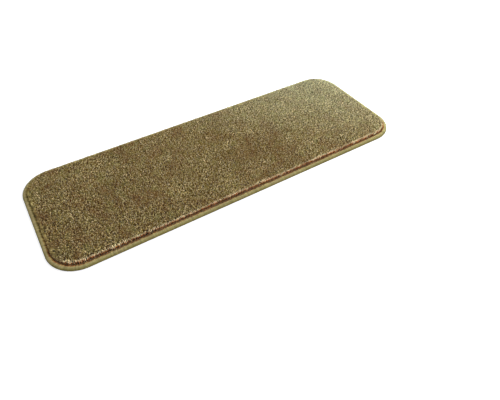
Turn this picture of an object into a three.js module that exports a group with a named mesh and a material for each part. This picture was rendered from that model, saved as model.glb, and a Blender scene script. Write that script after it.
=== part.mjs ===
// Stair tread mat: a rectangle of tufted cut-pile carpet with round corners, an
// anti-slip coating under it and a raised overlocked edge all the way round.
// Millimetres, +Z up. The origin is the centre of the underside, +X runs along
// the stair and +Y from the nose of the step to its riser.
import * as THREE from 'three';

// Driving dimensions of the mat as a whole
const MAT_LENGTH = 650;
const MAT_WIDTH = 235;
const CORNER_RADIUS = 50;

// The layers, from the step upwards. The coating is thinner along its border,
// where the overlocked edge passes under it.
const UNDERLAP_THICKNESS = 1.0;
const COATING_BORDER_THICKNESS = 1.0;
const CLOTH_THICKNESS = 1.0;
const PILE_HEIGHT = 9.0;

// The overlocked edge: a band of yarn turns that clasps the layers
const EDGE_WALL = 1.6;
const EDGE_UNDERLAP = 7.6;
const EDGE_OVERLAP = 8.2;
const EDGE_CREST_RISE = 3.8;
const EDGE_CREST_INSET = 3.8;
const EDGE_LIP_THICKNESS = 1.4;
const EDGE_TOE_INSET = 2.8;

// The pile's flank leans out over the band and ends in a round shoulder
const PILE_LEAN = 1.1;
const SHOULDER_DEPTH = 2.0;
const SHOULDER_HEIGHT = 2.0;
const SHOULDER_LIMIT = 0.5;

// The needle thread lies on the band's inner side, this many degrees down from
// its crest, between the band and the pile
const THREAD_RADIUS = 0.4;
const THREAD_DEGREES = 68;

// The gap left between pieces that touch
const SEAT_GAP = 0.3;

// How finely the round stretches are cut
const CORNER_STEPS = 16;
const BEAD_STEPS = 6;
const SHOULDER_STEPS = 3;
const THREAD_SIDES = 6;
const SMALLEST_RADIUS = 0.5;

// Heights and insets worked out from the dimensions above
const BORDER_BASE = UNDERLAP_THICKNESS;
const CLOTH_BASE = BORDER_BASE + COATING_BORDER_THICKNESS;
const PILE_BASE = CLOTH_BASE + CLOTH_THICKNESS;
const PILE_TOP = PILE_BASE + PILE_HEIGHT;
const CREST_HEIGHT = PILE_BASE + EDGE_CREST_RISE;
const RIM_HEIGHT = PILE_BASE;
const LIP_TOP = PILE_BASE + EDGE_LIP_THICKNESS;
const CLOTH_INSET = EDGE_WALL + SEAT_GAP;
const COATING_INSET = EDGE_UNDERLAP + SEAT_GAP;
const BAND_DEPTH = EDGE_OVERLAP - EDGE_CREST_INSET;
const BAND_FALL = CREST_HEIGHT - LIP_TOP;
const [THREAD_INSET, THREAD_HEIGHT] = threadCentre();
const PILE_INSET = THREAD_INSET + THREAD_RADIUS + SEAT_GAP;
const PILE_FOOT_TOP = THREAD_HEIGHT + THREAD_RADIUS + SEAT_GAP;

function material(color, roughness) {
  return new THREE.MeshStandardMaterial({ color, roughness, metalness: 0 });
}

const coatingMaterial = material(0x2b2926, 0.75);
const clothMaterial = material(0x8a7a58, 0.95);
const pileMaterial = material(0x80704a, 1.0);
const overlockMaterial = material(0x9a8d58, 0.8);
const threadMaterial = material(0xc0ad88, 0.85);

// The rim moved inwards by an inset, anticlockwise seen from above, with the
// same number of points at every inset so that rings can be joined one to one.
function matOutline(inset) {
  const halfLength = MAT_LENGTH / 2 - CORNER_RADIUS;
  const halfWidth = MAT_WIDTH / 2 - CORNER_RADIUS;
  const radius = Math.max(CORNER_RADIUS - inset, SMALLEST_RADIUS);
  const reach = CORNER_RADIUS - inset - radius;
  const corners = [
    [1, 1, 0],
    [-1, 1, 90],
    [-1, -1, 180],
    [1, -1, 270],
  ];
  const points = [];
  for (const [sideX, sideY, startDegrees] of corners) {
    const centreX = sideX * (halfLength + reach);
    const centreY = sideY * (halfWidth + reach);
    for (let step = 0; step <= CORNER_STEPS; step += 1) {
      const degrees = startDegrees + (90 * step) / CORNER_STEPS;
      const angle = THREE.MathUtils.degToRad(degrees);
      points.push([centreX + radius * Math.cos(angle), centreY + radius * Math.sin(angle)]);
    }
  }
  return points;
}

// Sweeps a section of [inset, height] points round the mat. The section runs
// anticlockwise seen with the mat's middle on its left. A closed section gives
// a ring; an open one, from the bottom face to the top face, gets two caps.
function sweepSection(section, closed) {
  const rings = section.map(([inset, height]) => (
    matOutline(inset).map(([x, y]) => [x, y, height])
  ));
  const count = rings[0].length;
  const positions = rings.flat(2);
  const faces = [];
  const spans = closed ? section.length : section.length - 1;
  for (let span = 0; span < spans; span += 1) {
    const low = span * count;
    const high = ((span + 1) % section.length) * count;
    for (let point = 0; point < count; point += 1) {
      const next = (point + 1) % count;
      faces.push(low + point, low + next, high + next);
      faces.push(low + point, high + next, high + point);
    }
  }
  if (!closed) {
    const topStart = (section.length - 1) * count;
    for (let point = 1; point < count - 1; point += 1) {
      faces.push(0, point + 1, point);
      faces.push(topStart, topStart + point, topStart + point + 1);
    }
  }
  const geometry = new THREE.BufferGeometry();
  geometry.setAttribute('position', new THREE.Float32BufferAttribute(positions, 3));
  geometry.setIndex(faces);
  geometry.computeVertexNormals();
  return geometry;
}

// A quarter of an ellipse in the section plane, without its first point.
function quarterCurve(centreInset, centreHeight, reachInset, reachHeight, startDegrees, steps) {
  const points = [];
  for (let step = 1; step <= steps; step += 1) {
    const angle = THREE.MathUtils.degToRad(startDegrees + (90 * step) / steps);
    points.push([
      centreInset - reachInset * Math.cos(angle),
      centreHeight + reachHeight * Math.sin(angle),
    ]);
  }
  return points;
}

// The coating fills the step-side hollow inside the band, and a thinner border
// of it reaches outwards between the band's underside and the cloth.
function antiSlipBacking() {
  const section = [
    [COATING_INSET, 0],
    [COATING_INSET, BORDER_BASE],
    [CLOTH_INSET, BORDER_BASE],
    [CLOTH_INSET, CLOTH_BASE],
  ];
  return sweepSection(section, false);
}

function backingCloth() {
  const section = [
    [CLOTH_INSET, CLOTH_BASE],
    [CLOTH_INSET, PILE_BASE],
  ];
  return sweepSection(section, false);
}

// The flank stands upright past the thread, leans out above it, and the
// shoulder takes up no more than its share of the height that is left.
function carpetPile() {
  const leanInset = PILE_INSET - PILE_LEAN;
  const shoulderHeight = Math.min(SHOULDER_HEIGHT, (PILE_TOP - PILE_FOOT_TOP) * SHOULDER_LIMIT);
  const section = [
    [PILE_INSET, PILE_BASE],
    [PILE_INSET, PILE_FOOT_TOP],
    [leanInset, PILE_TOP - shoulderHeight],
    ...quarterCurve(
      leanInset + SHOULDER_DEPTH,
      PILE_TOP - shoulderHeight,
      SHOULDER_DEPTH,
      shoulderHeight,
      0,
      SHOULDER_STEPS,
    ),
  ];
  return sweepSection(section, false);
}

// Where the thread's middle lies: off the band's inner quarter ellipse, along
// its normal, by the thread's radius and a seat's gap.
function threadCentre() {
  const angle = THREE.MathUtils.degToRad(THREAD_DEGREES);
  const alongInset = BAND_FALL * Math.sin(angle);
  const alongHeight = BAND_DEPTH * Math.cos(angle);
  const lift = (THREAD_RADIUS + SEAT_GAP) / Math.hypot(alongInset, alongHeight);
  return [
    EDGE_CREST_INSET + BAND_DEPTH * Math.sin(angle) + lift * alongInset,
    LIP_TOP + BAND_FALL * Math.cos(angle) + lift * alongHeight,
  ];
}

// A hook-shaped section: under the coating's border, round the rim, over the
// crest and down to the foot of the pile.
function overlockEdge() {
  const section = [
    [EDGE_UNDERLAP, BORDER_BASE],
    [EDGE_UNDERLAP, 0],
    [EDGE_TOE_INSET, 0],
    ...quarterCurve(EDGE_TOE_INSET, RIM_HEIGHT, EDGE_TOE_INSET, RIM_HEIGHT, -90, BEAD_STEPS),
    ...quarterCurve(
      EDGE_CREST_INSET,
      RIM_HEIGHT,
      EDGE_CREST_INSET,
      CREST_HEIGHT - RIM_HEIGHT,
      0,
      BEAD_STEPS,
    ),
    ...quarterCurve(EDGE_CREST_INSET, LIP_TOP, BAND_DEPTH, BAND_FALL, 90, BEAD_STEPS),
    [EDGE_OVERLAP, PILE_BASE],
    [EDGE_WALL, PILE_BASE],
    [EDGE_WALL, BORDER_BASE],
  ];
  return sweepSection(section, true);
}

function needleThread() {
  const section = [];
  for (let side = 0; side < THREAD_SIDES; side += 1) {
    const angle = (2 * Math.PI * side) / THREAD_SIDES;
    section.push([
      THREAD_INSET - THREAD_RADIUS * Math.cos(angle),
      THREAD_HEIGHT + THREAD_RADIUS * Math.sin(angle),
    ]);
  }
  return sweepSection(section, true);
}

const pieces = [
  ['anti_slip_backing', antiSlipBacking(), coatingMaterial],
  ['backing_cloth', backingCloth(), clothMaterial],
  ['carpet_pile', carpetPile(), pileMaterial],
  ['overlock_edge', overlockEdge(), overlockMaterial],
  ['needle_thread', needleThread(), threadMaterial],
];

const mat = new THREE.Group();
for (const [name, geometry, pieceMaterial] of pieces) {
  const mesh = new THREE.Mesh(geometry, pieceMaterial);
  mesh.name = name;
  mat.add(mesh);
}

export default mat;
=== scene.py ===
"""A stair tread mat: cut pile tufted through a woven cloth, an anti-slip coating under it, and an
overlocked edge of close yarn turns with its needle thread along the foot of the pile."""

import math

import bpy
import numpy as np
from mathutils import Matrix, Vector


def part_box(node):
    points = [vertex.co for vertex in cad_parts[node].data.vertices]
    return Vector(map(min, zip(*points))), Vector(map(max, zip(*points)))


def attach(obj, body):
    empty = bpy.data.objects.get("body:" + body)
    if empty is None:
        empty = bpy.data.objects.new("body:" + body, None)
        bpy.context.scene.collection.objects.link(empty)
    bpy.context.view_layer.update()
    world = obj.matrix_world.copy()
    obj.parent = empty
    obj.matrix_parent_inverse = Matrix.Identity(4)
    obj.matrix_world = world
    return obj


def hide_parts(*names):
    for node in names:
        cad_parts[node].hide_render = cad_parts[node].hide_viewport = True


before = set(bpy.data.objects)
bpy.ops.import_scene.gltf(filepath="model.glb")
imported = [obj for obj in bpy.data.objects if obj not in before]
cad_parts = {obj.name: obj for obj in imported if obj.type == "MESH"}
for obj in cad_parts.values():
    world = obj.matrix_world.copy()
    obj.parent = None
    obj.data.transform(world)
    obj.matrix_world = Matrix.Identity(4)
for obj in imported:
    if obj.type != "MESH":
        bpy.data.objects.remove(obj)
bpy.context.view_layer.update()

# Lengths are in metres; one millimetre is MM. +X runs along the stair and +Y from the nose of
# the step to its riser.
MM = 0.001
FULL_TURN = 2 * math.pi
SEED = 65
rng = np.random.default_rng(SEED)

# The mat's outline and layers, from the frame's boxes, which give all but its corner radius
EDGE_LOW, EDGE_HIGH = (np.array(corner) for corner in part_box("overlock_edge"))
CLOTH_LOW, CLOTH_HIGH = (np.array(corner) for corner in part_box("backing_cloth"))
COATING_LOW, COATING_HIGH = (np.array(corner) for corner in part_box("anti_slip_backing"))
THREAD_LOW, THREAD_HIGH = (np.array(corner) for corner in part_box("needle_thread"))
PILE_HIGH = np.array(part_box("carpet_pile")[1])
CORNER_RADIUS = 50 * MM
HALF_LENGTH = EDGE_HIGH[0]
HALF_WIDTH = EDGE_HIGH[1]
SPINE_X = HALF_LENGTH - CORNER_RADIUS
SPINE_Y = HALF_WIDTH - CORNER_RADIUS
CREST_HEIGHT = EDGE_HIGH[2]
CLOTH_INSET = HALF_LENGTH - CLOTH_HIGH[0]
PILE_BASE = CLOTH_HIGH[2]
PILE_TOP = PILE_HIGH[2]


# Camera, level, at the angle at which the mat's face is seen
CAMERA_AZIMUTH = math.radians(-32)
CAMERA_ELEVATION = math.radians(46)
CAMERA_DISTANCE = 0.72
CAMERA_TARGET = np.array([-0.012, -0.124, 0.0])
PICTURE_WIDTH = 500
FOCAL_PIXELS = 442
SENSOR_WIDTH = 36


def add_camera():
    back = np.array([
        math.sin(CAMERA_AZIMUTH) * math.cos(CAMERA_ELEVATION),
        -math.cos(CAMERA_AZIMUTH) * math.cos(CAMERA_ELEVATION),
        math.sin(CAMERA_ELEVATION),
    ])
    camera_data = bpy.data.cameras.new("mat_camera")
    camera_data.sensor_width = SENSOR_WIDTH
    camera_data.lens = SENSOR_WIDTH * FOCAL_PIXELS / PICTURE_WIDTH
    camera = bpy.data.objects.new("mat_camera", camera_data)
    camera.location = CAMERA_TARGET + CAMERA_DISTANCE * back
    camera.rotation_euler = (math.pi / 2 - CAMERA_ELEVATION, 0, CAMERA_AZIMUTH)
    bpy.context.scene.collection.objects.link(camera)
    bpy.context.scene.camera = camera


# Node trees written as expressions


class Signal:
    """What a socket gives. Arithmetic on it adds Math nodes to its tree."""

    def __init__(self, tree, socket):
        self.tree = tree
        self.socket = socket

    def math(self, operation, *values):
        sockets = dict(enumerate(values))
        return self.tree.node("ShaderNodeMath", {"operation": operation}, sockets)

    def __add__(self, other):
        return self.math("ADD", self, other)

    def __sub__(self, other):
        return self.math("SUBTRACT", self, other)

    def __rsub__(self, other):
        return self.math("SUBTRACT", other, self)

    def __mul__(self, other):
        return self.math("MULTIPLY", self, other)

    __radd__ = __add__
    __rmul__ = __mul__

    def between(self, low, high):
        """Turns the range from 0 to 1 into the one from low to high."""
        return self * (high - low) + low

    def sine(self):
        return self.math("SINE", self)

    def wave(self):
        """A sine wave from 0 to 1."""
        return self.sine() * 0.5 + 0.5


class Tree:
    """A node tree under construction, of a finish, the world or the floor."""

    def __init__(self, owner):
        owner.use_nodes = True
        self.nodes = owner.node_tree.nodes
        self.links = owner.node_tree.links
        self.nodes.clear()

    def node(self, kind, settings=None, sockets=None, output=0):
        """Adds a node: its settings first, then the values or links of its sockets."""
        node = self.nodes.new(kind)
        for name, setting in (settings or {}).items():
            if name == "stops":
                self.set_stops(node.color_ramp, setting)
            else:
                setattr(node, name, setting)
        for key, value in (sockets or {}).items():
            socket = self.find(node.inputs, key)
            if isinstance(value, Signal):
                self.links.new(value.socket, socket)
            else:
                socket.default_value = value
        return Signal(self, self.find(node.outputs, output)) if node.outputs else node

    @staticmethod
    def find(sockets, key):
        if isinstance(key, int):
            return sockets[key]
        return next(socket for socket in sockets if socket.identifier == key)

    @staticmethod
    def set_stops(ramp, stops):
        while len(ramp.elements) < len(stops):
            ramp.elements.new(1)
        for element, (position, colour) in zip(ramp.elements, stops):
            element.position = position
            element.color = (*colour, 1)

    def place(self):
        return self.node("ShaderNodeTexCoord", output="Object")

    def part(self, vector, axis):
        return self.node("ShaderNodeSeparateXYZ", None, {"Vector": vector}, axis)

    def attribute(self, name):
        return self.node("ShaderNodeAttribute", {"attribute_name": name}, output="Fac")

    def ray(self, kind):
        """1 for rays of one kind and 0 for the rest."""
        return self.node("ShaderNodeLightPath", output=kind)

    def spread(self, signal, low, high):
        """Stretches the values from low to high to the whole range from 0 to 1."""
        sockets = {"Value": signal, "From Min": low, "From Max": high}
        return self.node("ShaderNodeMapRange", None, sockets)

    def across(self, place, direction, stretch):
        """Rises from 0 to 1 over a stretch of the mat, measured along a direction."""
        sockets = {0: place, 1: direction}
        travel = self.node("ShaderNodeVectorMath", {"operation": "DOT_PRODUCT"}, sockets, "Value")
        return self.spread(travel, *stretch)

    def noise(self, place, size, detail=2.0, roughness=0.5):
        sockets = {"Vector": place, "Scale": 1 / size, "Detail": detail, "Roughness": roughness}
        return self.node("ShaderNodeTexNoise", None, sockets)

    def patches(self, place, size, stretch, **grain):
        """Soft patches of about one size, where the noise passes a stretch of its values."""
        return self.spread(self.noise(place, size, **grain), *stretch)

    def mix(self, factor, first, second):
        settings = {"data_type": "RGBA", "clamp_factor": True}
        sockets = {"Factor_Float": factor}
        for key, colour in (("A_Color", first), ("B_Color", second)):
            sockets[key] = colour if isinstance(colour, Signal) else (*colour, 1)
        return self.node("ShaderNodeMix", settings, sockets, "Result_Color")

    def shaded(self, colour, brightness):
        """A colour made darker or lighter by a value."""
        sockets = {0: colour, "Scale": brightness}
        return self.node("ShaderNodeVectorMath", {"operation": "SCALE"}, sockets)

    def bump(self, height, strength, distance):
        sockets = {"Height": height, "Strength": strength, "Distance": distance}
        return self.node("ShaderNodeBump", None, sockets)


def new_finish(name):
    material = bpy.data.materials.new(name)
    return material, Tree(material)


def end_finish(tree, colour, roughness, normal, gloss):
    """Adds the surface shader. gloss holds plain numbers for its other sockets."""
    sockets = {"Base Color": colour, "Roughness": roughness, "Normal": normal, **gloss}
    surface = tree.node("ShaderNodeBsdfPrincipled", None, sockets)
    tree.node("ShaderNodeOutputMaterial", None, {"Surface": surface})


# Finish of the pile

# Painted shade: the roots of the pile are painted near black, where shade falls between the tufts
ROOT_PAINTED_SHADE = (0.080, 0.028, 0.008)
PILE_YARNS = {
    "pile_straw": (0.78, 0.61, 0.32),
    "pile_sand": (0.56, 0.415, 0.175),
    "pile_olive": (0.35, 0.258, 0.080),
    "pile_bronze": (0.19, 0.118, 0.026),
    "pile_umber": (0.060, 0.030, 0.006),
}
PILE_BRIGHTNESS = (0.23, 1.58)
PILE_GLOSS = {
    "Sheen Weight": 0.26,
    "Sheen Roughness": 0.45,
    "Sheen Tint": (0.90, 0.88, 0.80, 1),
    "Specular IOR Level": 0.03,
}
FIBRE_SIZE = 0.35 * MM
FIBRE_CONTRAST = 0.20
FIBRE_RELIEF = 0.2 * MM

# Where along a strand the painted shade at its root gives way to the yarn's own colour near its tip
ROOT_SHADE_FADE = (0.55, 0.95)

# Brightness and the share of russet go from one value to the other in the broad brown areas
BROWN_AREAS = {"size": 80 * MM, "stretch": (0.34, 0.66), "detail": 5.0, "roughness": 0.68}
AREA_BRIGHTNESS = (1.07, 0.91)
RUSSET = (0.25, 0.115, 0.038)
RUSSET_PATCHES = {"size": 34 * MM, "stretch": (0.42, 0.70), "detail": 5.0, "roughness": 0.68}
RUSSET_SHARE = (0.44, 0.94)
OLIVE = (0.38, 0.335, 0.11)
OLIVE_PATCHES = {"size": 16 * MM, "stretch": (0.50, 0.72), "detail": 3.0}
OLIVE_SHARE = 0.45

# Painted sheen: the pile's colour is painted paler and cooler towards one far corner, as light from
# behind makes it look
PAINTED_SHEEN = (0.74, 0.765, 0.505)
PAINTED_SHEEN_SHARE = 0.28
TO_PAINTED_SHEEN = (0.7, 0.8, 0)
PAINTED_SHEEN_STRETCH = (0.15 * HALF_LENGTH, 0.85 * HALF_LENGTH)

# The outermost rows: along the nose side their cut tips get a painted highlight and below it a
# painted red shade, and the painted red runs on round both of its corners
TO_RISER = (0, 1, 0)
NOSE_STRETCH = (-0.60 * HALF_WIDTH, -0.90 * HALF_WIDTH)
PAINTED_RED_STRETCH = (-0.10 * HALF_WIDTH, -0.75 * HALF_WIDTH)
EDGE_ROW_DARK = (0.36, 0.26, 0.078)
EDGE_ROW_PALE = (0.68, 0.54, 0.23)
EDGE_ROW_BRIGHTNESS = (0.66, 1.21)
NOSE_ROW_HIGHLIGHT = (0.89, 0.74, 0.45)
NOSE_ROW_HIGHLIGHT_SHARE = 0.5
NOSE_ROW_PAINTED_RED = (0.78, 0.29, 0.080)
NOSE_ROW_PAINTED_SHADE = (0.50, 0.18, 0.050)
RED_PATCHES = {"size": 60 * MM, "stretch": (0.38, 0.56), "detail": 1.0}
RED_BETWEEN_PATCHES = 0.45
REDDER_TONES = (0.10, 0.50)

# The palest strands stay pale further down. The fade from painted root shade to the tip's colour has
# its start and its end each given away from the nose side and along it, so that along the nose side
# more of each strand is painted in shade.
PALEST_TONES = (0.80, 0.92)
PALEST_REACH = 0.5
EDGE_FADE_START = (0.30, 0.78)
EDGE_FADE_END = (0.70, 0.92)


def end_yarn(tree, place, root, body, depth, brightness):
    """The rest of a pile yarn: fibre, soft patches, painted sheen, painted root shade and gloss."""
    fibre = tree.noise(place, FIBRE_SIZE)
    brown_area = tree.patches(place, **BROWN_AREAS)
    russet_patch = tree.patches(place, **RUSSET_PATCHES)
    olive_patch = tree.patches(place, **OLIVE_PATCHES)
    painted_sheen = tree.across(place, TO_PAINTED_SHEEN, PAINTED_SHEEN_STRETCH)
    body = tree.mix(russet_patch * brown_area.between(*RUSSET_SHARE), body, RUSSET)
    body = tree.mix(olive_patch * OLIVE_SHARE, body, OLIVE)
    # Painted sheen towards one far corner
    body = tree.mix(painted_sheen * PAINTED_SHEEN_SHARE, body, PAINTED_SHEEN)
    brightness = (brightness + fibre * FIBRE_CONTRAST) * brown_area.between(*AREA_BRIGHTNESS)
    # depth goes from the painted shade at the root, at 0, to the yarn's colour, at 1
    end_finish(
        tree,
        colour=tree.shaded(tree.mix(depth, root, body), brightness),
        roughness=fibre.between(0.75, 0.95),
        normal=tree.bump(fibre, strength=0.35, distance=FIBRE_RELIEF),
        gloss=PILE_GLOSS,
    )


def pile_finish(name, colour):
    """Heather yarn, with painted shade at the root that gives way to the yarn's colour at the cut
    tip.
    """
    material, tree = new_finish(name)
    depth = tree.spread(tree.attribute("along"), *ROOT_SHADE_FADE)
    brightness = tree.attribute("tone").between(*PILE_BRIGHTNESS)
    end_yarn(tree, tree.place(), ROOT_PAINTED_SHADE, colour, depth, brightness)
    return material


def edge_row_finish():
    """The yarn of the outermost rows. Along the nose side their roots get a painted red shade, which
    comes and goes along the edge, and their tips a painted highlight.
    """
    material, tree = new_finish("pile_edge_row")
    place = tree.place()
    along = tree.attribute("along")
    tone = tree.attribute("tone")
    nose = tree.across(place, TO_RISER, NOSE_STRETCH)
    palest = tree.spread(tone, *PALEST_TONES)
    fade = nose.between(*EDGE_FADE_START), nose.between(*EDGE_FADE_END)
    depth = tree.spread(along + palest * PALEST_REACH, *fade)
    red_patch = tree.patches(place, **RED_PATCHES)
    redness = tree.spread(tone, *REDDER_TONES) * red_patch.between(RED_BETWEEN_PATCHES, 1)
    # Painted red shade on the roots, along the nose side and round its corners
    red = tree.mix(redness, NOSE_ROW_PAINTED_SHADE, NOSE_ROW_PAINTED_RED)
    root = tree.mix(tree.across(place, TO_RISER, PAINTED_RED_STRETCH), ROOT_PAINTED_SHADE, red)
    # Painted highlight on the tips along the nose side
    highlit_yarn = tree.mix(nose, EDGE_ROW_PALE, NOSE_ROW_HIGHLIGHT)
    body = tree.mix(tone + nose * NOSE_ROW_HIGHLIGHT_SHARE, EDGE_ROW_DARK, highlit_yarn)
    end_yarn(tree, place, root, body, depth, tone.between(*EDGE_ROW_BRIGHTNESS))
    return material


# Finish of the overlocked edge

# Positions along a yarn turn, from the pile's foot over the crest to the underside. Besides the
# yarn's olive, the colours hold painted shade at the pile's foot and over the rim and underside, and
# a painted highlight on the crest.
BAND_COLOURS_AND_PAINTED_LIGHT = [
    (0.00, (0.110, 0.065, 0.020)),
    (0.10, (0.220, 0.150, 0.042)),
    (0.20, (0.340, 0.270, 0.090)),
    (0.30, (0.475, 0.395, 0.185)),
    (0.42, (0.370, 0.315, 0.118)),
    (0.58, (0.270, 0.232, 0.060)),
    (1.00, (0.190, 0.165, 0.050)),
]
INNER_SIDE = (0.28, 0.20)
CREST_START = (0.14, 0.26)
CREST_END = (0.56, 0.40)

# Beige comes and goes along the crest. Along the nose side the inner side gets a painted red shade,
# more on the darker turns; the inner side also dims the dark turns and brightens the pale ones.
BAND_BEIGE = (0.46, 0.36, 0.18)
BEIGE_PATCHES = {"size": 22 * MM, "stretch": (0.45, 0.70)}
BEIGE_SHARE = 0.6
BAND_RED_SHADE = (0.36, 0.085, 0.022)
RED_SHADE_SHARE = 0.85
REDDER_TURNS = (0.90, 0.65)
INNER_CONTRAST = (-0.4, 0.9)
BAND_BRIGHTNESS = (0.72, 1.02)
BAND_GLOSS = {
    "Sheen Weight": 0.06,
    "Sheen Roughness": 0.40,
    "Sheen Tint": (0.85, 0.80, 0.60, 1),
    "Specular IOR Level": 0.04,
}
BAND_FIBRE_SIZE = 0.4 * MM
BAND_FIBRE_CONTRAST = 0.24
BAND_FIBRE_HEIGHT = 0.6
BAND_RELIEF = 0.25 * MM

# A twist is in radians from end to end of a turn of yarn or of a stitch
YARN_PLIES = 2
YARN_TWIST = 75


def overlock_finish():
    """Plied olive yarn turns, with painted shade on the rim, a painted highlight on the crest and
    painted red shade where they dive to the pile.
    """
    material, tree = new_finish("overlock_yarn")
    place = tree.place()
    along = tree.attribute("along")
    around = tree.attribute("around")
    tone = tree.attribute("tone")
    fibre = tree.noise(place, BAND_FIBRE_SIZE)
    inner = tree.spread(along, *INNER_SIDE)
    red_shade_side = inner * tree.across(place, TO_RISER, PAINTED_RED_STRETCH)
    red_shaded = red_shade_side * tree.spread(tone, *REDDER_TURNS)
    on_crest = tree.spread(along, *CREST_START) * tree.spread(along, *CREST_END)
    beige_patch = tree.patches(place, **BEIGE_PATCHES)
    # Painted shade at the pile's foot and over the rim, painted highlight on the crest
    body = tree.node("ShaderNodeValToRGB", {"stops": BAND_COLOURS_AND_PAINTED_LIGHT}, {"Fac": along})
    # Painted red shade where the turns dive to the pile along the nose side
    body = tree.mix(red_shaded * RED_SHADE_SHARE, body, BAND_RED_SHADE)
    body = tree.shaded(body, 1 + inner * tone.between(*INNER_CONTRAST))
    body = tree.mix(beige_patch * on_crest * BEIGE_SHARE, body, BAND_BEIGE)
    brightness = tone.between(*BAND_BRIGHTNESS) + fibre * BAND_FIBRE_CONTRAST
    ply = (along * YARN_TWIST + around * (YARN_PLIES * FULL_TURN)).wave()
    relief = ply + fibre * BAND_FIBRE_HEIGHT
    end_finish(
        tree,
        colour=tree.shaded(body, brightness),
        roughness=fibre.between(0.55, 0.80),
        normal=tree.bump(relief, strength=0.6, distance=BAND_RELIEF),
        gloss=BAND_GLOSS,
    )
    return material


# Finish of the needle thread

THREAD_DARK = (0.26, 0.16, 0.065)
THREAD_PALE = (0.42, 0.31, 0.15)
THREAD_TWIST = 26
THREAD_RELIEF = 0.15 * MM


def thread_finish():
    """Pale sewing thread with its twist."""
    material, tree = new_finish("sewing_thread")
    along = tree.attribute("along")
    around = tree.attribute("around")
    twist = (along * THREAD_TWIST + around * FULL_TURN).wave()
    body = tree.mix(tree.attribute("tone"), THREAD_DARK, THREAD_PALE)
    end_finish(
        tree,
        colour=tree.shaded(body, twist.between(0.75, 1.00)),
        roughness=twist.between(0.55, 0.70),
        normal=tree.bump(twist, strength=0.5, distance=THREAD_RELIEF),
        gloss={"Specular IOR Level": 0.15},
    )
    return material


# Finishes of the cloth and its coating

WEAVE_PITCH = 1.6 * MM
WEAVE_LOW = (0.10, 0.075, 0.04)
WEAVE_HIGH = (0.17, 0.13, 0.07)
WEAVE_RELIEF = 0.3 * MM
TAPE_FIBRE_SIZE = 0.8 * MM
TAPE_FIBRE_HEIGHT = 0.3


def cloth_finish():
    """Plain woven polypropylene tape, mostly in the shade of the pile."""
    material, tree = new_finish("woven_cloth")
    place = tree.place()
    warp, weft = (
        (tree.part(place, axis) * (FULL_TURN / WEAVE_PITCH)).sine() for axis in ("X", "Y")
    )
    weave = warp * weft * 0.5 + 0.5
    fibre = tree.noise(place, TAPE_FIBRE_SIZE, detail=3.0)
    relief = weave + fibre * TAPE_FIBRE_HEIGHT
    end_finish(
        tree,
        colour=tree.shaded(tree.mix(weave, WEAVE_LOW, WEAVE_HIGH), fibre.between(0.8, 1.2)),
        roughness=fibre.between(0.7, 0.9),
        normal=tree.bump(relief, strength=0.6, distance=WEAVE_RELIEF),
        gloss={},
    )
    return material


FOAM_DARK = (0.020, 0.019, 0.017)
FOAM_PALE = (0.036, 0.034, 0.030)
FOAM_GRAIN_SIZE = 0.9 * MM
FOAM_CELL_SIZE = 2.2 * MM
FOAM_CLOUD_SIZE = 35 * MM
FOAM_RELIEF = 0.25 * MM
CELL_HEIGHT = 0.7
GRAIN_HEIGHT = 0.5


def coating_finish():
    """Foamed anti-slip coating with a fine open grain."""
    material, tree = new_finish("foamed_coating")
    place = tree.place()
    grain = tree.noise(place, FOAM_GRAIN_SIZE, detail=3.0, roughness=0.6)
    cell_sockets = {"Vector": place, "Scale": 1 / FOAM_CELL_SIZE}
    cells = tree.node("ShaderNodeTexVoronoi", None, cell_sockets)
    body = tree.mix(tree.noise(place, FOAM_CLOUD_SIZE), FOAM_DARK, FOAM_PALE)
    relief = cells * CELL_HEIGHT + grain * GRAIN_HEIGHT
    end_finish(
        tree,
        colour=tree.shaded(body, grain.between(0.8, 1.2)),
        roughness=grain.between(0.62, 0.87),
        normal=tree.bump(relief, strength=0.5, distance=FOAM_RELIEF),
        gloss={"Specular IOR Level": 0.35},
    )
    return material


# Unevenness

LATTICE_MARGIN = 6

# More cells than any row of them holds, so that each cell gets a number of its own
CELLS_PAST_ANY_ROW = 10000


def scatter(unevenness, shape):
    """Random distances about zero. An unevenness is their spread and the lowest and highest."""
    spread, lowest, highest = unevenness
    return rng.normal(0, spread, shape).clip(lowest, highest)


def eased(part):
    """Goes from 0 to 1 with a soft start and end."""
    return part * part * (3 - 2 * part)


def smooth_noise(x, y, cell):
    """Noise from -1 to 1 over the mat's plane, with hills about one cell wide."""
    columns = int(2 * HALF_LENGTH / cell) + LATTICE_MARGIN
    rows = int(2 * HALF_WIDTH / cell) + LATTICE_MARGIN
    lattice = rng.uniform(-1, 1, (columns, rows))
    grid_x = x / cell + columns / 2
    grid_y = y / cell + rows / 2
    column = np.clip(np.floor(grid_x).astype(int), 0, columns - 2)
    row = np.clip(np.floor(grid_y).astype(int), 0, rows - 2)
    part_x = eased(grid_x - column)
    part_y = eased(grid_y - row)
    near = lattice[column, row] * (1 - part_x) + lattice[column + 1, row] * part_x
    far = lattice[column, row + 1] * (1 - part_x) + lattice[column + 1, row + 1] * part_x
    return near * (1 - part_y) + far * part_y


def evened(values, x, y, cell):
    """Values less the mean of their cell of the mat's plane, so that they are evenly mixed."""
    place = np.floor(x / cell) * CELLS_PAST_ANY_ROW + np.floor(y / cell)
    _, index, count = np.unique(place, return_inverse=True, return_counts=True)
    return values - (np.bincount(index, values) / count)[index]


# Places along the rim


def inset_and_outward(x, y):
    """How far points lie inside the rim, and the direction from each to the nearest rim."""
    over_x = np.abs(x) - SPINE_X
    over_y = np.abs(y) - SPINE_Y
    corner = (over_x > 0) & (over_y > 0)
    reach = np.hypot(over_x, over_y)
    inset = CORNER_RADIUS - np.where(corner, reach, np.maximum(over_x, over_y))
    sideways = over_x > over_y
    out_x = np.where(corner, over_x / reach, sideways) * np.sign(x)
    out_y = np.where(corner, over_y / reach, ~sideways) * np.sign(y)
    return inset, np.stack([out_x, out_y], 1)


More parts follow.
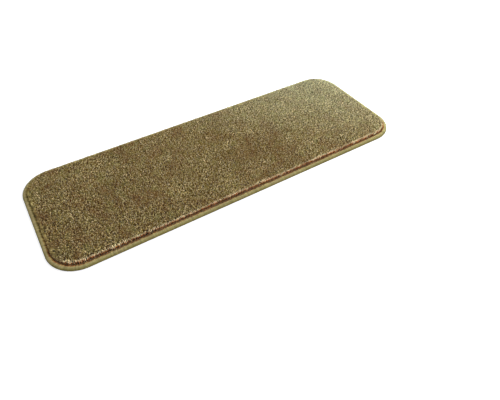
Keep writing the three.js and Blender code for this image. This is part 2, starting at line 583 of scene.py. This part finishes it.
def rim_stations(spacing, inset):
    """Stations spaced evenly round the mat, as measured at an inset: their anchors, from which
    the rim is a corner's radius away, and their directions outwards and along the rim."""
    arc = (CORNER_RADIUS - inset) * math.pi / 2
    sides = [
        ((-SPINE_X, -SPINE_Y), (1, 0), 2 * SPINE_X, -90),
        ((SPINE_X, -SPINE_Y), (0, 1), 2 * SPINE_Y, 0),
        ((SPINE_X, SPINE_Y), (-1, 0), 2 * SPINE_X, 90),
        ((-SPINE_X, SPINE_Y), (0, -1), 2 * SPINE_Y, 180),
    ]
    around = 4 * arc + sum(side[2] for side in sides)
    count = round(around / spacing)
    travel = (np.arange(count) + 0.5) * around / count
    anchors = np.zeros((count, 2))
    angles = np.zeros(count)
    start = 0.0
    for corner, direction, length, degrees in sides:
        straight = (travel >= start) & (travel < start + length)
        run = travel[straight, None] - start
        anchors[straight] = np.array(corner) + run * np.array(direction)
        angles[straight] = math.radians(degrees)
        start += length
        bend = (travel >= start) & (travel < start + arc)
        anchors[bend] = np.array(corner) + length * np.array(direction)
        angles[bend] = math.radians(degrees) + (travel[bend] - start) / arc * math.pi / 2
        start += arc
    outward = np.stack([np.cos(angles), np.sin(angles)], 1)
    tangent = np.stack([-outward[:, 1], outward[:, 0]], 1)
    return anchors, outward, tangent


def rim_points(stations, inset, shift, height):
    """Points by station and ring: so far inside the rim, so far along it and so high."""
    anchors, outward, tangent = stations
    flat = anchors[:, None] + outward[:, None] * (CORNER_RADIUS - inset)[..., None]
    flat = flat + tangent[:, None] * shift[..., None]
    return np.concatenate([flat, height[..., None]], 2)


def unit(vectors):
    return vectors / np.linalg.norm(vectors, axis=-1, keepdims=True)


# Meshes

CELL_FILL = 0.78


def new_piece(name, vertices, sizes, corners, finish):
    """A mesh object from a flat list of face corners and the number of corners of each face."""
    mesh = bpy.data.meshes.new(name)
    mesh.vertices.add(len(vertices))
    mesh.vertices.foreach_set("co", np.asarray(vertices, np.float32).ravel())
    mesh.loops.add(len(corners))
    mesh.loops.foreach_set("vertex_index", np.asarray(corners, np.int32))
    mesh.polygons.add(len(sizes))
    starts = np.concatenate([[0], np.cumsum(sizes)[:-1]]).astype(np.int32)
    mesh.polygons.foreach_set("loop_start", starts)
    mesh.update(calc_edges=True)
    mesh.validate()
    mesh.shade_smooth()
    mesh.materials.append(finish)
    piece = bpy.data.objects.new(name, mesh)
    bpy.context.scene.collection.objects.link(piece)
    return piece


def add_values(piece, name, values):
    attribute = piece.data.attributes.new(name, "FLOAT", "POINT")
    attribute.data.foreach_set("value", np.asarray(values, np.float32))


def add_bake_map(piece, places, count):
    """Gives each strand a cell of its own in a square map, so that a bake keeps them apart."""
    across = math.ceil(math.sqrt(count))
    index = np.arange(count)
    cells = np.stack([index % across, index // across], 1)
    inside = (1 - CELL_FILL) / 2 + CELL_FILL * places
    spots = (cells[:, None] + inside[None]) / across
    layer = piece.data.uv_layers.new(name="OFBake")
    layer.data.foreach_set("uv", spots.astype(np.float32).ravel())


def strand_faces(rings, sides):
    """The faces of one strand, a tube that closes to its tip, and where their corners lie in its
    cell of the bake map."""
    faces, places = [], []
    levels = np.linspace(0, 1, rings + 1)
    for ring in range(rings):
        for step in range(sides):
            here, after = ring * sides + step, ring * sides + (step + 1) % sides
            left, right = step / sides, (step + 1) / sides
            bottom, top = levels[ring], levels[ring + 1]
            if ring < rings - 1:
                faces.append([here, after, after + sides, here + sides])
                places.append([(left, bottom), (right, bottom), (right, top), (left, top)])
            else:
                faces.append([here, after, rings * sides])
                places.append([(left, bottom), (right, bottom), ((left + right) / 2, top)])
    faces.append(list(reversed(range(sides))))
    places.append([(step / sides, 0) for step in faces[-1]])
    return faces, places


def strands(name, sides, shares, shape, tone, finish):
    """Many closed strands as one piece. Their shape is the centres of their rings, by strand and
    ring, the two half axes of each ring, and the tips. shares tell how far along the rings lie."""
    centres, width, depth, tips = shape
    count, rings = centres.shape[:2]
    side = np.arange(sides)
    angle = FULL_TURN * side / sides
    across, through = np.cos(angle)[:, None], np.sin(angle)[:, None]
    rim = across * width[:, :, None] + through * depth[:, :, None]
    body = centres[:, :, None] + rim
    vertices = np.concatenate([body.reshape(count, -1, 3), tips[:, None]], 1)
    each = rings * sides + 1

    faces, places = strand_faces(rings, sides)
    sizes = np.tile([len(face) for face in faces], count)
    corners = (np.concatenate(faces)[None] + each * np.arange(count)[:, None]).ravel()
    piece = new_piece(name, vertices.reshape(-1, 3), sizes, corners, finish)

    along = np.append(np.repeat(shares, sides), 1)
    around = np.append(np.tile(side / sides, rings), 0)
    add_values(piece, "along", np.tile(along, count))
    add_values(piece, "around", np.tile(around, count))
    add_values(piece, "tone", np.repeat(tone, each))
    add_bake_map(piece, np.concatenate(places), count)
    return piece


# The pile

TUFT_SPACING = 2.12 * MM
TUFT_JITTER = (0.38 * MM, -0.76 * MM, 0.76 * MM)
PILE_LEAN = 1.1 * MM
PILE_FOOT_INSET = HALF_LENGTH - PILE_HIGH[0] + PILE_LEAN
EDGE_ROW_INSET = PILE_FOOT_INSET + 0.9 * MM
EDGE_ROW_STEP = 1.6 * MM
EDGE_ROW_SPACING = 2.4 * MM
EDGE_ROW_WOBBLE = (0.15 * MM, -0.4 * MM, 0.3 * MM)
EDGE_ROW_SHIFT = (0.45 * MM, -0.9 * MM, 0.9 * MM)

# The nap leans a little, more or less in waves, each given by its width and its reach
NAP_LEAN = (0.5 * MM, 0.3 * MM)
LEAN_WAVES = ((48 * MM, 0.9 * MM), (16 * MM, 0.5 * MM), (6 * MM, 0.2 * MM))
SHEARED_BELOW_TOP = 0.45 * MM
HEIGHT_WAVES = ((60 * MM, 0.25 * MM), (6 * MM, 0.15 * MM))
HEIGHT_SCATTER = (0.45 * MM, -1.2 * MM, 0.7 * MM)

# At the rim the pile loses most of that lean, is a little lower and leans out over the band, by
# so much on the nose side, at the ends and on the riser side
SHOULDER_WIDTH = 4.0 * MM
SHOULDER_DROP = 0.3 * MM
LEAN_LOST_AT_RIM = 0.7
FRINGE_LEANS = (0.3 * MM, 0.4 * MM, 0.9 * MM)

# The two plies of a tuft. Their radii are given at the root and at the crown, which lies at a
# share of their height.
STRAND_SIDES = 3
PLY_RADII = (0.45 * MM, 0.88 * MM)
CROWN_SHARE = 0.92
ROOT_PARTING = 0.8
CROWN_PARTING = 0.60 * MM
PLY_STRAY = (0.45 * MM, -0.9 * MM, 0.9 * MM)
PLY_HEIGHTS = (0.93, 1.02)
PLY_THICKNESSES = (0.8, 1.2)
PLY_TWIST = 0.9
TIP_OVERSHOOT = (0.02, 0.22)
YARN_MIX_CELL = 4.5 * MM

# The plies of the outermost rows are straighter, and part towards the rim. The rows' tone rises
# towards the nose side as a painted highlight, and changes from tuft to tuft and in waves.
EDGE_PLY_RADII = (0.55 * MM, 0.88 * MM)
EDGE_PLY_STRAY = (0.36 * MM, -0.72 * MM, 0.72 * MM)
EDGE_TONE = 0.35
NOSE_HIGHLIGHT_GAIN = 0.20
NOSE_HIGHLIGHT_POWER = 4
TUFT_TONE = 0.45
TONE_WAVES = ((4 * MM, 0.20), (9 * MM, 0.15))


def tuft_places():
    """Root points in staggered rows, a little uneven as stitched, clear of the outermost rows."""
    row_step = TUFT_SPACING * math.sqrt(3) / 2
    rows = int(2 * HALF_WIDTH / row_step)
    columns = int(2 * HALF_LENGTH / TUFT_SPACING)
    row, column = np.meshgrid(np.arange(rows), np.arange(columns), indexing="ij")
    x = (column - columns / 2 + 0.5 * (row % 2)) * TUFT_SPACING
    y = (row - rows / 2 + 0.5) * row_step
    points = np.stack([x.ravel(), y.ravel()], 1)
    points += scatter(TUFT_JITTER, points.shape)
    inset, _ = inset_and_outward(*points.T)
    return points[inset > EDGE_ROW_INSET + EDGE_ROW_STEP + 0.5 * TUFT_SPACING]


def edge_row_places():
    """Root points of the two outermost rows, which follow the band."""
    rows = []
    for inset in (EDGE_ROW_INSET, EDGE_ROW_INSET + EDGE_ROW_STEP):
        anchors, outward, tangent = rim_stations(EDGE_ROW_SPACING, inset)
        wobble = scatter(EDGE_ROW_WOBBLE, (len(anchors), 1))
        shift = scatter(EDGE_ROW_SHIFT, (len(anchors), 1))
        rows.append(anchors + outward * (CORNER_RADIUS - inset + wobble) + tangent * shift)
    return np.concatenate(rows)


def nap(points):
    """How far each tuft's crown leans from its root, and its height."""
    x, y = points.T
    inset, outward = inset_and_outward(x, y)
    lean = np.tile(NAP_LEAN, (len(points), 1))
    for cell, reach in LEAN_WAVES:
        lean[:, 0] += reach * smooth_noise(x, y, cell)
        lean[:, 1] += reach * smooth_noise(x, y, cell)
    rim = np.clip(1 - (inset - EDGE_ROW_INSET) / SHOULDER_WIDTH, 0, 1)
    fringe = rim * np.interp(outward[:, 1], [-1, 0, 1], FRINGE_LEANS)
    lean = lean * (1 - LEAN_LOST_AT_RIM * rim[:, None]) + outward * fringe[:, None]
    height = PILE_TOP - PILE_BASE - SHEARED_BELOW_TOP - SHOULDER_DROP * rim
    for cell, reach in HEIGHT_WAVES:
        height += reach * smooth_noise(x, y, cell)
    height += scatter(HEIGHT_SCATTER, len(points))
    return lean, height


def cut_plies(points, facing, radii, stray):
    """The two cut plies of each tuft, that part along the angle that the tuft faces and lean as
    they rise, and end in a blunt point: their centres, half axes and tips."""
    lean, height = nap(points)
    tuft = np.repeat(np.arange(len(points)), 2)
    count = len(tuft)
    angle = np.repeat(facing, 2) + np.tile([0, math.pi], len(points))
    apart = np.stack([np.cos(angle), np.sin(angle)], 1)
    rise = height[tuft] * rng.uniform(*PLY_HEIGHTS, count)
    root = points[tuft] + apart * radii[0] * ROOT_PARTING
    crown = points[tuft] + apart * CROWN_PARTING + lean[tuft] + scatter(stray, (count, 2))
    root_level = np.full((count, 1), PILE_BASE)
    crown_level = PILE_BASE + CROWN_SHARE * rise[:, None]
    centres = np.stack([np.hstack([root, root_level]), np.hstack([crown, crown_level])], 1)
    beyond = (crown - root) * rng.uniform(*TIP_OVERSHOOT, (count, 1))
    tips = np.hstack([crown + beyond, PILE_BASE + rise[:, None]])
    roll = rng.uniform(0, FULL_TURN, (count, 1)) + np.array([0, PLY_TWIST])
    radius = (np.array(radii) * rng.uniform(*PLY_THICKNESSES, (count, 1)))[..., None]
    level = np.zeros_like(roll)
    width = np.stack([np.cos(roll), np.sin(roll), level], 2) * radius
    depth = np.stack([-np.sin(roll), np.cos(roll), level], 2) * radius
    return centres, width, depth, tips


def pile_piece(name, plies, tone, finish):
    shares = np.array([0, CROWN_SHARE])
    piece = strands(name, STRAND_SIDES, shares, plies, tone.clip(0, 1), finish)
    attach(piece, "root")
    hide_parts("carpet_pile")
    return piece


def make_heather():
    """The pile within the outermost rows, one piece for each shade of its yarn."""
    points = tuft_places()
    plies = cut_plies(points, rng.uniform(0, FULL_TURN, len(points)), PLY_RADII, PLY_STRAY)
    x, y = plies[3][:, :2].T
    shade = evened(rng.uniform(-1, 1, len(x)), x, y, YARN_MIX_CELL)
    tone = 0.5 + evened(rng.uniform(-0.5, 0.5, len(x)), x, y, YARN_MIX_CELL)
    palest_first = np.argsort(shade)[::-1]
    pieces = []
    for name, members in zip(PILE_YARNS, np.array_split(palest_first, len(PILE_YARNS))):
        chosen = [part[members] for part in plies]
        finish = pile_finish(name, PILE_YARNS[name])
        pieces.append(pile_piece(name, chosen, tone[members], finish))
    return pieces


def make_edge_rows():
    """The two rows of tufts that stand along the band."""
    points = edge_row_places()
    _, outward = inset_and_outward(*points.T)
    facing = np.arctan2(outward[:, 1], outward[:, 0])
    plies = cut_plies(points, facing, EDGE_PLY_RADII, EDGE_PLY_STRAY)
    x, y = plies[3][:, :2].T
    # Painted highlight: the tone rises towards the nose side
    tone = EDGE_TONE + NOSE_HIGHLIGHT_GAIN * np.clip(-y / HALF_WIDTH, 0, 1) ** NOSE_HIGHLIGHT_POWER
    tone += np.repeat(rng.uniform(-TUFT_TONE, TUFT_TONE, len(points)), 2)
    for cell, reach in TONE_WAVES:
        tone += reach * smooth_noise(x, y, cell)
    return pile_piece("pile_edge_row", plies, tone, edge_row_finish())


# The overlocked edge

WRAP_SPACING = 1.45 * MM
WRAP_STATION_INSET = 3.8 * MM
WRAP_SIDES = 5
YARN_HALF_WIDTH = 0.80 * MM
YARN_HALF_THICKNESS = 0.62 * MM
YARN_END_LENGTH = 0.3 * MM

# The section of its band as it goes round the layers, and where a turn dives at the pile's foot,
# in half thicknesses of the yarn off the lip
BAND_LIP_INSET = 8.2 * MM
BAND_LIP_HEIGHT = PILE_BASE + 1.4 * MM
BAND_CREST_INSET = 3.8 * MM
BAND_TOE_INSET = 2.8 * MM
BAND_UNDERLAP_INSET = 7.6 * MM
DIVE_OUTWARDS = 0.5
DIVE_DEPTH = 1.5

# How the turns vary. A profile gives values at shares of the way from the pile's foot to the
# underside.
WRAP_SLANT = 0.8 * MM
SLANT_SPREAD = 0.10 * MM
WRAP_SWELL = (0.10 * MM, -0.2 * MM, 0.16 * MM)
SWELL_PROFILE = ([0, 0.35, 0.7, 1], [0.3, 1, 0.6, 0])
SWELL_UP_PROFILE = ([0, 0.4, 0.6, 1], [1, 1, 0, 0])
SWELL_OUTWARDS = 0.6
DIVE_SPREAD = 0.22 * MM
DIVE_PROFILE = ([0, 0.25], [1, 0])
YARN_SIZES = (0.92, 1.08)
WRAP_TONES = (0.2, 0.8)
TONE_CLUSTER_SIZE = 1.8 * MM
TONE_CLUSTER_REACH = 0.6


def ellipse_arc(centre, reach, degrees):
    """Points of (inset, height) on an ellipse, by degrees from its outermost point upwards."""
    angles = np.radians(degrees)
    inset = centre[0] - reach[0] * np.cos(angles)
    height = centre[1] + reach[1] * np.sin(angles)
    return np.stack([inset, height], 1)


def wrap_path():
    """The middle of one yarn turn as insets and heights, from the pile's foot to the underside."""
    thick = YARN_HALF_THICKNESS
    inner_reach = (BAND_LIP_INSET - BAND_CREST_INSET - thick, CREST_HEIGHT - BAND_LIP_HEIGHT - thick)
    outer_reach = (BAND_CREST_INSET - thick, CREST_HEIGHT - PILE_BASE - thick)
    toe_reach = (BAND_TOE_INSET - thick, PILE_BASE - thick)
    dive = [(BAND_LIP_INSET - thick * DIVE_OUTWARDS, BAND_LIP_HEIGHT - thick * DIVE_DEPTH)]
    inner = ellipse_arc((BAND_CREST_INSET, BAND_LIP_HEIGHT), inner_reach, [180, 150, 120])
    outer = ellipse_arc((BAND_CREST_INSET, PILE_BASE), outer_reach, [90, 60, 30, 0])
    toe = ellipse_arc((BAND_TOE_INSET, PILE_BASE), toe_reach, [-30, -60, -90])
    underside = [((BAND_TOE_INSET + BAND_UNDERLAP_INSET) / 2, thick), (BAND_UNDERLAP_INSET, thick)]
    return np.concatenate([dive, inner, outer, toe, underside])


def keep_inside(piece, low, high):
    """Presses what stands proud of a box, by parts of a yarn's width, back to its faces."""
    points = np.empty(len(piece.data.vertices) * 3, np.float32)
    piece.data.vertices.foreach_get("co", points)
    points = np.clip(points.reshape(-1, 3), low, high)
    piece.data.vertices.foreach_set("co", points.astype(np.float32).ravel())
    piece.data.update()


def make_overlock():
    """The close turns of yarn, each with its own slant, swell, depth of dive, size and tone."""
    stations = rim_stations(WRAP_SPACING, WRAP_STATION_INSET)
    path = wrap_path()
    count, rings = len(stations[0]), len(path)
    progress = np.linspace(0, 1, rings)
    slant = WRAP_SLANT * (0.5 - progress) + rng.normal(0, SLANT_SPREAD, (count, 1))
    swell = scatter(WRAP_SWELL, (count, 1)) * np.interp(progress, *SWELL_PROFILE)
    dive = rng.normal(0, DIVE_SPREAD, (count, 1)) * np.interp(progress, *DIVE_PROFILE)
    inset = path[:, 0] - swell * SWELL_OUTWARDS + dive
    height = path[:, 1] + swell * np.interp(progress, *SWELL_UP_PROFILE)
    inset = np.maximum(inset, YARN_HALF_THICKNESS)
    height = np.maximum(height, YARN_HALF_THICKNESS)
    centres = rim_points(stations, inset, slant, height)

    heading = unit(np.gradient(centres, axis=1))
    along_rim = np.pad(stations[2], ((0, 0), (0, 1)))[:, None]
    normal = unit(np.cross(heading, along_rim))
    sideways = np.cross(normal, heading)
    size = rng.uniform(*YARN_SIZES, (count, 1, 1))
    width = sideways * YARN_HALF_WIDTH * size
    depth = normal * YARN_HALF_THICKNESS * size
    tips = centres[:, -1] + heading[:, -1] * YARN_END_LENGTH
    shape = (centres, width, depth, tips)

    clusters = smooth_noise(centres[:, 0, 0], centres[:, 0, 1], TONE_CLUSTER_SIZE)
    tone = (rng.uniform(*WRAP_TONES, count) + TONE_CLUSTER_REACH * clusters).clip(0, 1)
    shares = progress * rings / (rings + 1)
    piece = strands("overlock_turns", WRAP_SIDES, shares, shape, tone, overlock_finish())
    keep_inside(piece, EDGE_LOW, EDGE_HIGH)
    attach(piece, "root")
    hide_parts("overlock_edge")
    return piece


# The needle thread

STITCH_RADIUS = (THREAD_HIGH[2] - THREAD_LOW[2]) / 2
STITCH_INSET = HALF_LENGTH - THREAD_HIGH[0] + STITCH_RADIUS
STITCH_LENGTH = 3.1 * MM
STITCH_RINGS = 5
STITCH_SIDES = 6
STITCH_TIP_LENGTH = 0.15 * MM

# A stitch reaches this share of its length each way from its middle, so that it runs into the
# next one. The solid's middle height is at this share of its arch, and its middle stays half a
# radius under the solid's top.
STITCH_REACH = 0.56
STITCH_ARCH = 0.55 * MM
STITCH_ARCH_LEVEL = 0.6
STITCH_HEADROOM = 0.5
STITCH_INSET_SPREAD = 0.14 * MM
STITCH_HEIGHT_SPREAD = 0.05 * MM
STITCH_TAPER = ([0, 0.3, 0.7, 1], [0.7, 1, 1, 0.7])
UP = np.array([0, 0, 1.0])


def make_needle_thread():
    """A row of short stitches, end to end, that press into the band where they dive."""
    stations = rim_stations(STITCH_LENGTH, STITCH_INSET)
    count = len(stations[0])
    progress = np.linspace(0, 1, STITCH_RINGS)
    shift = np.linspace(-STITCH_REACH, STITCH_REACH, STITCH_RINGS) * STITCH_LENGTH
    arch = np.cos(np.linspace(-1, 1, STITCH_RINGS) * math.pi / 2)
    inset = STITCH_INSET + rng.normal(0, STITCH_INSET_SPREAD, (count, 1))
    height = (THREAD_LOW[2] + THREAD_HIGH[2]) / 2 + (arch - STITCH_ARCH_LEVEL) * STITCH_ARCH
    height = height + rng.normal(0, STITCH_HEIGHT_SPREAD, (count, 1))
    height = np.minimum(height, THREAD_HIGH[2] - STITCH_RADIUS * STITCH_HEADROOM)
    centres = rim_points(stations, inset, shift, height)

    heading = unit(np.gradient(centres, axis=1))
    sideways = unit(np.cross(heading, UP))
    radius = (STITCH_RADIUS * np.interp(progress, *STITCH_TAPER))[:, None]
    width = sideways * radius
    depth = np.cross(sideways, heading) * radius
    tips = centres[:, -1] + heading[:, -1] * STITCH_TIP_LENGTH
    shape = (centres, width, depth, tips)

    tone = rng.uniform(0, 1, count)
    shares = np.linspace(0, 1, STITCH_RINGS, endpoint=False)
    piece = strands("needle_stitches", STITCH_SIDES, shares, shape, tone, thread_finish())
    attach(piece, "root")
    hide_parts("needle_thread")
    return piece


# The cloth and its coating

SMALLEST_RADIUS = 0.5 * MM
BEND_ROWS = 10
DIMPLE_SIZE = 4.0 * MM
COATING_GAP = 0.3 * MM
COATING_BORDER_BASE = COATING_LOW[2] + 1.0 * MM
COATING_CELLS = (100, 32)
COATING_RELIEF = 0.12 * MM
CLOTH_SEAT = 0.1 * MM
CLOTH_CELLS = (90, 30)
CLOTH_RELIEF = 0.10 * MM


def slab_grid(inset, cells):
    """Points over the mat's outline at an inset, in rows along X that end on the outline. cells
    are the points in a row and the rows between the corners."""
    radius = max(CORNER_RADIUS - inset, SMALLEST_RADIUS)
    straight = HALF_WIDTH - inset - radius
    bend = np.sin(np.linspace(0, 1, BEND_ROWS)[1:] * math.pi / 2) * radius + straight
    middle = np.linspace(-straight, straight, cells[1])
    y = np.concatenate([-bend[::-1], middle, bend])
    over = np.maximum(np.abs(y) - straight, 0)
    reach = HALF_LENGTH - inset - radius + np.sqrt(np.maximum(radius**2 - over**2, 0))
    x = np.linspace(-1, 1, cells[0])[None] * reach[:, None]
    return x, np.repeat(y[:, None], cells[0], 1)


def border_loop(rows, columns):
    """Indices of a grid's border, anticlockwise seen from above."""
    grid = np.arange(rows * columns).reshape(rows, columns)
    return np.concatenate([grid[0, :-1], grid[:-1, -1], grid[-1, :0:-1], grid[:0:-1, 0]])


def laid_slab(name, levels, cells, relief, finish):
    """A closed slab whose border follows levels of (inset, height), from its underside to its
    top. relief is how far both faces are pushed inwards by fine noise."""
    vertices, sizes, corners, loops = [], [], [], []
    start = 0
    for step, (inset, height) in enumerate(levels):
        x, y = slab_grid(inset, cells)
        rows, columns = x.shape
        loop = border_loop(rows, columns)
        flat_x, flat_y = x.ravel(), y.ravel()
        z = np.full(flat_x.shape, height)
        if step in (0, len(levels) - 1):
            inwards = 1 if step == 0 else -1
            dimple = 0.5 + 0.5 * smooth_noise(flat_x, flat_y, DIMPLE_SIZE)
            dimple[loop] = 0
            z = z + inwards * relief * dimple
            grid = start + np.arange(rows * columns).reshape(rows, columns)
            quads = np.stack([grid[:-1, :-1], grid[:-1, 1:], grid[1:, 1:], grid[1:, :-1]], 2)
            quads = quads.reshape(-1, 4)
            corners.append(quads[:, ::-1].ravel() if step == 0 else quads.ravel())
            sizes.append(np.full(len(quads), 4))
            vertices.append(np.stack([flat_x, flat_y, z], 1))
            loops.append(start + loop)
            start += rows * columns
        else:
            vertices.append(np.stack([flat_x[loop], flat_y[loop], z[loop]], 1))
            loops.append(start + np.arange(len(loop)))
            start += len(loop)
    for low, high in zip(loops[:-1], loops[1:]):
        wall = np.stack([low, np.roll(low, -1), np.roll(high, -1), high], 1)
        corners.append(wall.ravel())
        sizes.append(np.full(len(wall), 4))
    vertices = np.concatenate(vertices)
    piece = new_piece(name, vertices, np.concatenate(sizes), np.concatenate(corners), finish)
    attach(piece, "root")
    return piece


def make_coating():
    """The foamed coating, with a thinner border above the band's underlap."""
    hollow = BAND_UNDERLAP_INSET + COATING_GAP
    levels = [
        (hollow, COATING_LOW[2]),
        (hollow, COATING_BORDER_BASE),
        (CLOTH_INSET, COATING_BORDER_BASE),
        (CLOTH_INSET, COATING_HIGH[2]),
    ]
    piece = laid_slab("foamed_backing", levels, COATING_CELLS, COATING_RELIEF, coating_finish())
    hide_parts("anti_slip_backing")
    return piece


def make_cloth():
    """The woven cloth, which lies flat on the coating."""
    levels = [(CLOTH_INSET, CLOTH_LOW[2] + CLOTH_SEAT), (CLOTH_INSET, PILE_BASE)]
    piece = laid_slab("tufting_cloth", levels, CLOTH_CELLS, CLOTH_RELIEF, cloth_finish())
    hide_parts("backing_cloth")
    return piece


# Floor, light and world

WHITE = (1, 1, 1)
FLOOR_SIZE = 8.0
FLOOR_CLEARANCE = 0.2 * MM
FLOOR_SEEN = (0.55, 0.55, 0.55)
FLOOR_BOUNCE = (0.30, 0.30, 0.30)
FLOOR_GLOW = 0.76
WORLD_LOW = 0.12
WORLD_HIGH = 0.52

# Each lamp is a disk, so many metres wide and of so many watts
KEY_LIGHT = {"place": (0.87, -0.95, 1.33), "aim": (0, 0, 0), "size": 0.98, "power": 23.2}
BACK_LIGHT = {"place": (0.72, 0.34, 0.48), "aim": (0.32, 0, 0), "size": 0.5, "power": 8.2}
BACK_LIGHT_COLOUR = (0.70, 0.93, 1)


def add_floor():
    """A pale floor that keeps the mat's shadow and throws little light back on its edge."""
    half = FLOOR_SIZE / 2
    mesh = bpy.data.meshes.new("floor")
    ring = [(-half, -half), (half, -half), (half, half), (-half, half)]
    mesh.from_pydata([(x, y, -FLOOR_CLEARANCE) for x, y in ring], [], [(0, 1, 2, 3)])
    material, tree = new_finish("pale_floor")
    seen = tree.ray("Is Camera Ray")
    colour = tree.mix(seen, FLOOR_BOUNCE, FLOOR_SEEN)
    paper = tree.node("ShaderNodeBsdfDiffuse", None, {"Color": colour})
    glow = tree.node("ShaderNodeEmission", None, {"Strength": seen * FLOOR_GLOW})
    surface = tree.node("ShaderNodeAddShader", None, {0: paper, 1: glow})
    tree.node("ShaderNodeOutputMaterial", None, {"Surface": surface})
    mesh.materials.append(material)
    floor = bpy.data.objects.new("floor", mesh)
    bpy.context.scene.collection.objects.link(floor)


def add_world():
    """White to the eye and in gloss, and for light a soft dome that is brightest overhead."""
    world = bpy.data.worlds.new("white_room")
    tree = Tree(world)
    seen = tree.ray("Is Camera Ray")
    for kind in ("Is Glossy Ray", "Is Transmission Ray"):
        seen = seen.math("MAXIMUM", seen, tree.ray(kind))
    direction = tree.node("ShaderNodeTexCoord", output="Generated")
    overhead = tree.spread(tree.part(direction, "Z"), 0, 1)
    strength = seen + (1 - seen) * overhead.between(WORLD_LOW, WORLD_HIGH)
    sockets = {"Color": (*WHITE, 1), "Strength": strength}
    light = tree.node("ShaderNodeBackground", None, sockets)
    tree.node("ShaderNodeOutputWorld", None, {"Surface": light})
    bpy.context.scene.world = world


def add_lamp(name, place, aim, size, power, colour=WHITE):
    lamp_data = bpy.data.lights.new(name, "AREA")
    lamp_data.shape = "DISK"
    lamp_data.size = size
    lamp_data.energy = power
    lamp_data.color = colour
    lamp = bpy.data.objects.new(name, lamp_data)
    lamp.location = place
    direction = np.array(aim) - np.array(place)
    flat = math.hypot(direction[0], direction[1])
    lamp.rotation_euler = (
        math.pi / 2 + math.atan2(direction[2], flat),
        0,
        math.atan2(direction[1], direction[0]) - math.pi / 2,
    )
    bpy.context.scene.collection.objects.link(lamp)


add_camera()
pile = [*make_heather(), make_edge_rows()]
overlock = make_overlock()
needle_thread = make_needle_thread()
coating = make_coating()
make_cloth()
add_floor()
add_world()
add_lamp("key_light", **KEY_LIGHT)
add_lamp("back_light", **BACK_LIGHT, colour=BACK_LIGHT_COLOUR)

bpy.context.scene.view_settings.view_transform = "Standard"
